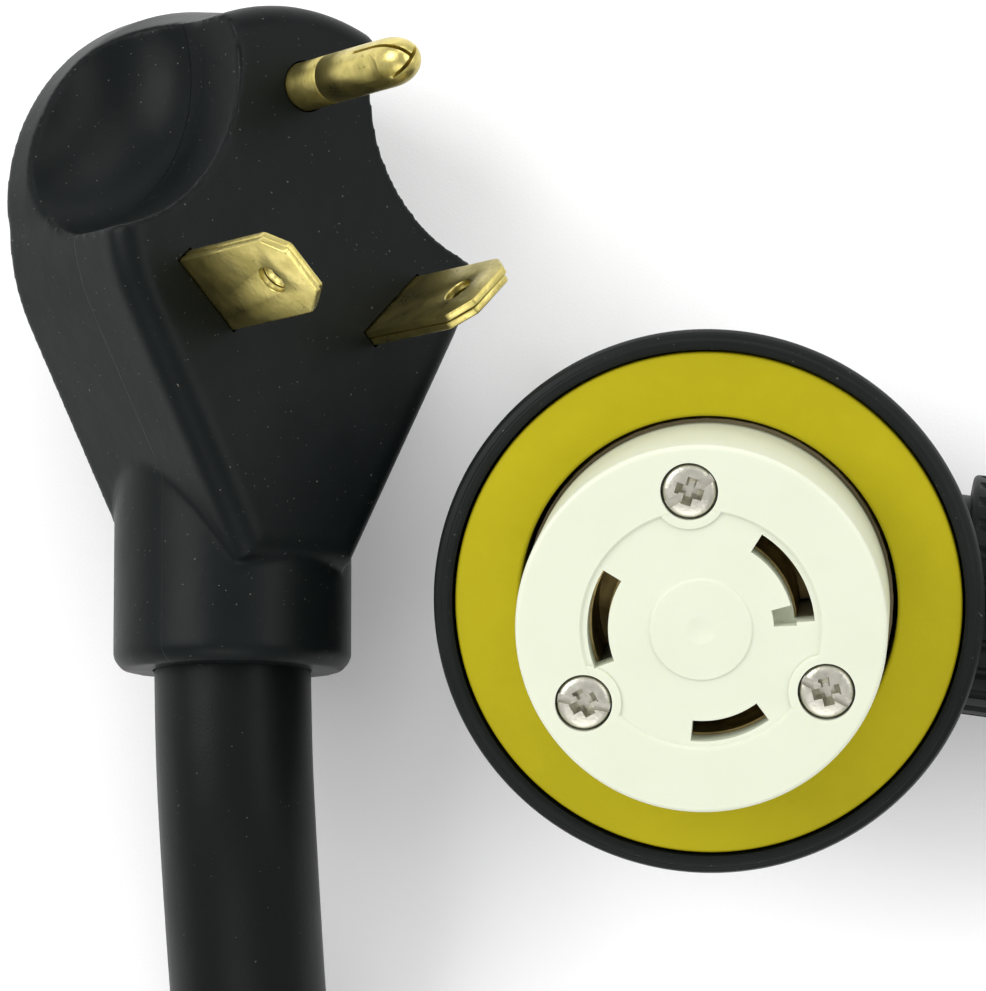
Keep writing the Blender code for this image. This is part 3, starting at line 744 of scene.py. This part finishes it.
# %% Lay the cord
CORD_ROUTE = (
    (-46.2, -25.5, 23.7), (-46.0, -35.6, 23.5), (-45.5, -45.6, 22.1), (-44.7, -60.8, 17.3),
    (-43.5, -76.6, 12.1), (-40.2, -94.6, 9.4), (-32.2, -116.6, 8.8), (-16.4, -137.3, 8.8),
    (4.3, -152.8, 8.8), (28.4, -161.8, 8.8), (54.3, -164.9, 8.8), (70.0, -165.1, 8.8),
    (84.0, -165.0, 8.8), (108.0, -160.8, 8.8), (129.2, -148.6, 8.8), (145.0, -129.8, 8.8),
    (153.3, -106.8, 8.8), (153.3, -82.4, 9.4), (145.0, -59.4, 11.8), (137.9, -49.3, 13.4),
    (129.2, -40.7, 15.2), (119.2, -33.6, 17.2), (106.5, -27.8, 19.3), (93.7, -24.9, 20.7),
    (81.4, -23.0, 21.1), (69.5, -21.4, 20.6),
)
CORD_PLUG_END_Y = -33.0 * MM
CORD_CONNECTOR_END = (44.6 * MM, -6.3 * MM, -29.0 * MM)
CURVE_STEPS = 10


def smooth_path(points):
    points = [Vector(p) for p in points]
    padded = [2 * points[0] - points[1], *points, 2 * points[-1] - points[-2]]
    path = [points[0]]
    for a, b, c, d in zip(padded, padded[1:], padded[2:], padded[3:]):
        for i in range(1, CURVE_STEPS + 1):
            t = i / CURVE_STEPS
            bend = (2 * a - 5 * b + 4 * c - d) * t * t + (3 * b - a - 3 * c + d) * t**3
            path.append((2 * b + (c - a) * t + bend) / 2)
    return path


def relaxed(path, passes):
    """Evens out the bends, as a stiff cord does, with the ends held."""
    for _ in range(passes):
        inner = [(a + 2 * b + c) / 4 for a, b, c in zip(path, path[1:], path[2:])]
        path = [path[0], *inner, path[-1]]
    return path


def path_length(path):
    return sum((b - a).length for a, b in zip(path, path[1:]))


route = relaxed(smooth_path([Vector(point) * MM for point in CORD_ROUTE]), 30)
path = [PLUG @ Vector((0, CORD_PLUG_END_Y, COLLAR_Z)), *route, CONNECTOR @ Vector(CORD_CONNECTOR_END)]
curve = bpy.data.curves.new("adapter_cord", "CURVE")
curve.dimensions = "3D"
curve.bevel_depth = CORD_R
curve.bevel_resolution = 14
curve.use_fill_caps = True
spline = curve.splines.new("POLY")
spline.points.add(len(path) - 1)
for point, at in zip(spline.points, path):
    point.co = (*at, 1.0)
spline.use_smooth = True
cord = bpy.data.objects.new("adapter_cord", curve)
bpy.context.scene.collection.objects.link(cord)
curve.materials.append(cord_black)
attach(cord, "adapter")
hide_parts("cord")
path_length(path)
print("cord", round(path_length(path), 3), "m long, free", round(path_length(route), 3), "m")

# %% [markdown]
# ## The locking ring
# The ring turns around the front and pulls the connector on. From the front it shows as a black rim with a
# rounded edge and a fine step. Its side tapers towards the back, so that it hides behind the rim, and has
# shallow grip grooves. A function of the angle presses them into the turned profile, and the rim's outline
# stays a true circle.

# %% Build the locking ring
RING_R = 29.6 * MM
RING_BORE_R = 27.5 * MM
RING_BACK_R = 27.9 * MM
RING_FRONT_Z = 0.6 * MM
RING_BACK_Z = -12.7 * MM
RING_LIP_R = 23.6 * MM
RING_LIP_THICK = 2.6 * MM
GRIP_COUNT = 36
GRIP_DEPTH = 0.45 * MM


def ring_wall(z):
    """The outer radius, which tapers a little towards the back."""
    share = min(1.0, max(0.0, (-0.7 * MM - z) / (-0.7 * MM - RING_BACK_Z)))
    return RING_R + (RING_BACK_R - RING_R) * share


def grip(angle, z, radius):
    """Grooves on the outer wall, fading out before the rim and before the back edge."""
    if radius < ring_wall(z) - 0.2 * MM or z > -3.2 * MM or z < RING_BACK_Z + 1.0 * MM:
        return 0.0
    fade = min(1.0, (-3.2 * MM - z) / (1.2 * MM), (z - RING_BACK_Z - 1.0 * MM) / (1.2 * MM))
    return -GRIP_DEPTH * fade * max(0.0, cos(GRIP_COUNT * angle)) ** 0.7


def locking_ring():
    lip_top = RING_BACK_Z + RING_LIP_THICK
    step_r = RING_R - 1.05 * MM
    outer = [(RING_BORE_R, RING_FRONT_Z - 0.25 * MM), (RING_BORE_R + 0.35 * MM, RING_FRONT_Z),
             (step_r, RING_FRONT_Z), (step_r + 0.12 * MM, RING_FRONT_Z - 0.3 * MM),
             (RING_R - 0.35 * MM, RING_FRONT_Z - 0.45 * MM), (RING_R, RING_FRONT_Z - 1.3 * MM)]
    wall = [(ring_wall(z), z) for z in (-3.0 * MM - 0.5 * MM * i for i in range(18))]
    back = [(RING_BACK_R - 0.8 * MM, RING_BACK_Z), (RING_LIP_R, RING_BACK_Z), (RING_LIP_R, lip_top),
            (RING_BORE_R, lip_top)]
    front_edge = softened(outer + [wall[0]], 0.3 * MM, 3, closed=False)
    back_edge = softened(back, 0.3 * MM, 3, closed=False)
    profile = front_edge + wall[1:] + back_edge
    return turned("grip_ring", profile, ring_black, CONNECTOR, wrap=True, steps=432, ribs=grip)


stands_for(locking_ring(), "ring", "moulded_black", "locking_ring")

# %% [markdown]
# ## Yellow front
# The yellow front is a flat flange with a barrel behind it. Its outer edge is broken by a small round, and
# its bore leaves a narrow dark gap round the white insert.

# %% Build the yellow front
FLANGE_R = 27.2 * MM
FLANGE_THICK = 5.0 * MM
FLANGE_BORE_R = 20.3 * MM
BARREL_R = 22.8 * MM
BARREL_BACK_Z = -13.4 * MM


def yellow_front():
    section = [(FLANGE_BORE_R, 0), (FLANGE_R, 0), (FLANGE_R, -FLANGE_THICK), (BARREL_R, -FLANGE_THICK),
               (BARREL_R, BARREL_BACK_Z), (FLANGE_BORE_R, BARREL_BACK_Z)]
    profile = softened(section, 0.45 * MM, 5)
    return turned("yellow_front", profile, yellow_plastic, CONNECTOR, wrap=True, steps=192)


stands_for(yellow_front(), "adapter", "yellow_plastic", "front_flange")

# %% [markdown]
# ## The white face
# The insert is the part that another plug meets. Its face has a shallow step down to an inner disc, a
# raised disc in the middle with a dimple, three curved slots, and a counterbore for each screw with a low
# boss around it. The step and the discs are turned, the bosses are joined on, and the slots are cut.

# %% Build the white face
INSERT_R = 19.45 * MM
INSERT_BACK_Z = -2.0 * MM
STEP_R = 12.4 * MM
STEP_DEEP = 0.35 * MM
MIDDLE_R = 5.3 * MM
DIMPLE_R = 1.5 * MM
BOSS_R = 4.0 * MM
BOSS_DROP = 0.04 * MM
SLOT_INNER_R = 9.7 * MM
SLOT_OUTER_R = 11.9 * MM
SLOTS = ((148, 200), (264, 306), (4, 57))
POCKET_MARGIN = 0.7 * MM
FACE_PLATE = 4.0 * MM
HOOK_ANGLES = (2, 15)
HOOK_INNER_R = 7.6 * MM
SCREW_CIRCLE_R = 14.6 * MM
SCREW_ANGLES = (94, 212, 333)
SCREW_HEAD_R = 2.8 * MM
SCREW_HEAD_TALL = 2.0 * MM
SCREW_SHANK_R = 1.5 * MM


def at_angle(radius, degrees):
    angle = radians(degrees)
    return CONNECTOR @ Matrix.Translation((radius * cos(angle), radius * sin(angle), 0))


def face_insert():
    top = INSERT_FACE_Z
    rim = [(INSERT_R, INSERT_BACK_Z), (INSERT_R, top), (STEP_R + 0.3 * MM, top)]
    disc = [(STEP_R, top - STEP_DEEP), (MIDDLE_R + 0.15 * MM, top - STEP_DEEP),
            (MIDDLE_R, top - 0.1 * MM), (DIMPLE_R, top - 0.1 * MM), (DIMPLE_R * 0.3, top - 0.35 * MM)]
    edge = softened(rim, 0.6 * MM, 6, closed=False)
    inner = softened(disc, 0.12 * MM, 3, closed=False)
    made = turned("white_face", edge + inner, white_nylon, CONNECTOR, steps=160)
    boss_top = top - BOSS_DROP
    corners = [(BOSS_R, top - 2 * MM), (BOSS_R, boss_top), (MM, boss_top)]
    boss = softened(corners, 0.2 * MM, 3, closed=False)
    for degrees in SCREW_ANGLES:
        place = at_angle(SCREW_CIRCLE_R, degrees)
        cut(made, turned("boss", boss, None, place, steps=64), operation="UNION")
    plate_back = top - FACE_PLATE
    for start, end in SLOTS:
        inner_r, outer_r = SLOT_INNER_R - POCKET_MARGIN, SLOT_OUTER_R + POCKET_MARGIN
        pocket = arc_band(inner_r, outer_r, start - 3, end + 3)
        cut(made, prism("pocket", pocket, INSERT_BACK_Z - MM, plate_back, None, CONNECTOR))
        slot = arc_band(SLOT_INNER_R, SLOT_OUTER_R, start, end)
        cut(made, prism("slot", slot, plate_back - MM, top + MM, None, CONNECTOR))
    hook = arc_band(HOOK_INNER_R, SLOT_INNER_R + 0.3 * MM, *HOOK_ANGLES, 5)
    cut(made, prism("hook", hook, top - 3 * MM, top + MM, None, CONNECTOR))
    for degrees in SCREW_ANGLES:
        floor = top - SCREW_HEAD_TALL - 0.6 * MM
        shank, head = SCREW_SHANK_R + 0.3 * MM, SCREW_HEAD_R + 0.22 * MM
        hole = [(shank, INSERT_BACK_Z - MM), (shank, floor), (head, floor), (head, top + MM)]
        cut(made, turned("screw_hole", hole, None, at_angle(SCREW_CIRCLE_R, degrees), steps=64))
    shade(made, 28)
    return made


stands_for(face_insert(), "adapter", "white_nylon", "face_insert")

# %% [markdown]
# ## Face screws
# Each screw takes a flat blade or a cross driver: a shallow slot runs right across the head, and a deeper
# cross sits in the middle, narrower at its foot and turned away from the slot. The head is a low dome. The
# cross is one plus-shaped cutter, because cutters that overlap each other can leave the head empty.

# %% Build the face screws
SLOT_TURNS = (31, 168, 152)
SCREW_SLOT = 0.9 * MM
CROSS_TURN = radians(41)


def cross_recess(length, width, deep, top, place):
    """A plus-shaped cutter that narrows towards its foot."""
    def outline(share, z):
        a, b = length / 2 * share, width / 2 * share
        corners = []
        for c, d in ((1, 0), (0, 1), (-1, 0), (0, -1)):
            for x, y in ((a, -b), (a, b), (b, b)):
                corners.append((x * c - y * d, x * d + y * c, z))
        return corners
    return loft("cross", [outline(0.5, top - deep), outline(1.05, top + 0.3 * MM)], None, place)


def face_screw(i, degrees, slot_turn):
    place = at_angle(SCREW_CIRCLE_R, degrees)
    top = INSERT_FACE_Z - 0.12 * MM
    low = top - SCREW_HEAD_TALL
    profile = [(SCREW_SHANK_R, -11 * MM), (SCREW_SHANK_R, low),
               (SCREW_HEAD_R, low), (SCREW_HEAD_R, top - 0.5 * MM)]
    for share, drop in ((0.97, 0.3), (0.9, 0.17), (0.75, 0.08), (0.5, 0.03), (0.15, 0.0)):
        profile.append((SCREW_HEAD_R * share, top - drop * MM))
    made = turned(f"combination_screw_{i}", profile, screw_steel, place, steps=72)
    turn = place @ Matrix.Rotation(radians(slot_turn), 4, "Z")
    reach, half_slot = SCREW_HEAD_R + 0.4 * MM, SCREW_SLOT / 2
    slot = box("slot", (-reach, -half_slot, top - 0.7 * MM), (reach, half_slot, top + MM), turn)
    cross_turn = turn @ Matrix.Rotation(CROSS_TURN, 4, "Z")
    cut(made, slot, cross_recess(3.1 * MM, 1.2 * MM, 1.6 * MM, top, cross_turn))
    shade(made, 30)
    return made


for i, (degrees, slot_turn) in enumerate(zip(SCREW_ANGLES, SLOT_TURNS), 1):
    stands_for(face_screw(i, degrees, slot_turn), "adapter", "screw_steel", f"face_screw_{i}")

# %% [markdown]
# ## The rear shell, the gland nut and the strain relief
# Behind the ring the shell turns the cord through a right angle, so the connector can stand on its back.
# The nut squeezes a tapered rubber sleeve onto the cord. The shell is moulded, so it gets the same softened
# skin as the plug. The nut and the sleeve are turned, with ribs pressed in by a function of the angle.

# %% Build the rear parts
HOUSING_TOP_Z = -13.0 * MM
HOUSING_BACK_Z = -43.0 * MM
HOUSING_LIP_R = 26.6 * MM
HOUSING_R = 23.8 * MM
HOUSING_FILLET = 10.0 * MM
HOUSING_SOCKET_R = 23.1 * MM
HOUSING_BORE_R = 20.5 * MM
NECK_Z = -29.0 * MM
NECK_R = 11.0 * MM
NECK_BORE_R = 10.35 * MM
NECK_TURN = radians(-8)
NECK_END_X = 36.0 * MM
NUT_START_X = 27.0 * MM
NUT_LENGTH = 12.5 * MM
NUT_R = 13.4 * MM
NUT_RIBS = 24
NUT_LIP = 2.5 * MM
RELIEF_START_X = 24.0 * MM
RELIEF_SLEEVE_R = 10.05 * MM
RELIEF_R = 12.0 * MM
RELIEF_TIP_R = 9.8 * MM


def neck_place(distance):
    """A frame on the neck's axis, z along it, at a distance out from the connector's axis."""
    axis = Vector((cos(NECK_TURN), sin(NECK_TURN), 0))
    return CONNECTOR @ along(axis * distance + Vector((0, 0, NECK_Z)), axis)


def rear_shell():
    outer = [(HOUSING_LIP_R, HOUSING_TOP_Z), (HOUSING_LIP_R, HOUSING_TOP_Z - 3 * MM),
             (HOUSING_R, HOUSING_TOP_Z - 6 * MM)]
    centre_r, centre_z = HOUSING_R - HOUSING_FILLET, HOUSING_BACK_Z + HOUSING_FILLET
    for a in quarter(12):
        outer.append((centre_r + HOUSING_FILLET * cos(a), centre_z - HOUSING_FILLET * sin(a)))
    made = turned("rear_shell", outer, shell_black, CONNECTOR, steps=160)
    neck = turned("neck", [(NECK_R, 0), (NECK_R, NECK_END_X)], None, neck_place(0), steps=96)
    cut(made, neck, operation="UNION")
    soften_skin(made, SKIN_VOXEL * 1.2, SKIN_SMOOTHING)
    socket_floor = HOUSING_TOP_Z - 2.2 * MM
    hollow = [(HOUSING_SOCKET_R, HOUSING_TOP_Z + MM), (HOUSING_SOCKET_R, socket_floor),
              (HOUSING_BORE_R, socket_floor), (HOUSING_BORE_R, -33 * MM), (12 * MM, -39.6 * MM)]
    cut(made, turned("hollow", hollow, None, CONNECTOR, steps=128))
    cut(made, turned("neck_bore", [(NECK_BORE_R, 0), (NECK_BORE_R, 40 * MM)], None, neck_place(0), steps=96))
    shade(made, 40)
    return made


def nut_ribs(angle, z, radius):
    if radius < NUT_R - 0.6 * MM or not 1.6 * MM < z < NUT_LENGTH - 1.6 * MM:
        return 0.0
    return -0.6 * MM * max(0.0, cos(NUT_RIBS * angle)) ** 0.6


def gland_nut():
    inner = NECK_R + 0.3 * MM
    front = softened([(inner, 0), (NUT_R, 0), (NUT_R, 1.7 * MM)], 0.7 * MM, 4, closed=False)
    wall = [(NUT_R, (1.7 + 0.6 * i) * MM) for i in range(1, 16)]
    mouth = [(NUT_R, NUT_LENGTH - 1.5 * MM), (NUT_R, NUT_LENGTH), (NECK_BORE_R, NUT_LENGTH),
             (NECK_BORE_R, NUT_LENGTH - NUT_LIP), (inner, NUT_LENGTH - NUT_LIP)]
    rest = softened(mouth, 0.7 * MM, 4, closed=False)
    place = neck_place(NUT_START_X)
    profile = front + wall + rest
    return turned("ribbed_gland_nut", profile, shell_black, place, wrap=True, steps=288, ribs=nut_ribs)


def relief_rings(angle, z, radius):
    """Flex grooves across the taper, broken on two sides so that the sleeve can bend."""
    if radius < 9.6 * MM or not 20.5 * MM < z < 35 * MM:
        return 0.0
    groove = max(0.0, cos(2 * pi * (z / MM - 20.5) / 3.6 + pi)) ** 0.5
    return -0.75 * MM * groove * (1.0 if abs(sin(angle)) < 0.9 else 0.0)


def strain_relief():
    shoulder, end = 15.8 * MM, 38 * MM
    taper = [(RELIEF_R - (RELIEF_R - RELIEF_TIP_R) * i / 60, (18.8 + 19.2 * i / 60) * MM) for i in range(60)]
    bore = CORD_R + 0.12 * MM
    sleeve = [(RELIEF_SLEEVE_R, 0), (RELIEF_SLEEVE_R, shoulder),
              (RELIEF_R - 0.4 * MM, shoulder), (RELIEF_R, shoulder + 0.5 * MM)]
    tip = [(RELIEF_TIP_R, end - 0.4 * MM), (RELIEF_TIP_R - 0.3 * MM, end), (bore, end), (bore, 0)]
    profile = sleeve + taper + tip
    place = neck_place(RELIEF_START_X)
    return turned("ribbed_strain_relief", profile, cord_black, place, wrap=True, steps=144,
                  ribs=relief_rings)


stands_for(rear_shell(), "adapter", "moulded_black", "rear_housing")
stands_for(gland_nut(), "adapter", "moulded_black", "gland_nut")
stands_for(strain_relief(), "adapter", "cord_black", "strain_relief")

# %% [markdown]
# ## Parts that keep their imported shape
# What sits inside is glimpsed through the slots at most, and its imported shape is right. Those parts only
# take a better finish.

# %% Finish the inner parts
INNER = {
    "blade_carrier": tan_nylon, "cord_ferrule": screw_steel, "housing_gasket": gasket_rubber,
    "slip_washer": white_nylon, "contact_carrier": tan_nylon,
}
WIRES = {"hot": wire_black, "neutral": wire_white, "ground": wire_green}
for pole, finish in WIRES.items():
    INNER[f"plug_wire_{pole}"] = finish
    INNER[f"connector_wire_{pole}"] = finish
    INNER[f"contact_{pole}"] = contact_brass
    INNER[f"terminal_screw_{pole}"] = screw_steel
for node, finish in INNER.items():
    for entry in frame["nodes"][node].material_slots:
        entry.link = "OBJECT"
        entry.material = finish
print("finished", len(INNER), "inner parts")

# %% [markdown]
# ## The table
# A plain pale top, large enough that no edge shows from any side.

# %% Make the table
FLOOR_SIZE = 6.0
FLOOR_THICK = 0.02

half = FLOOR_SIZE / 2
floor = box("table", (-half, -half, -FLOOR_THICK), (half, half, 0.0))
floor.data.materials.append(table_top)
print("table at z = 0")
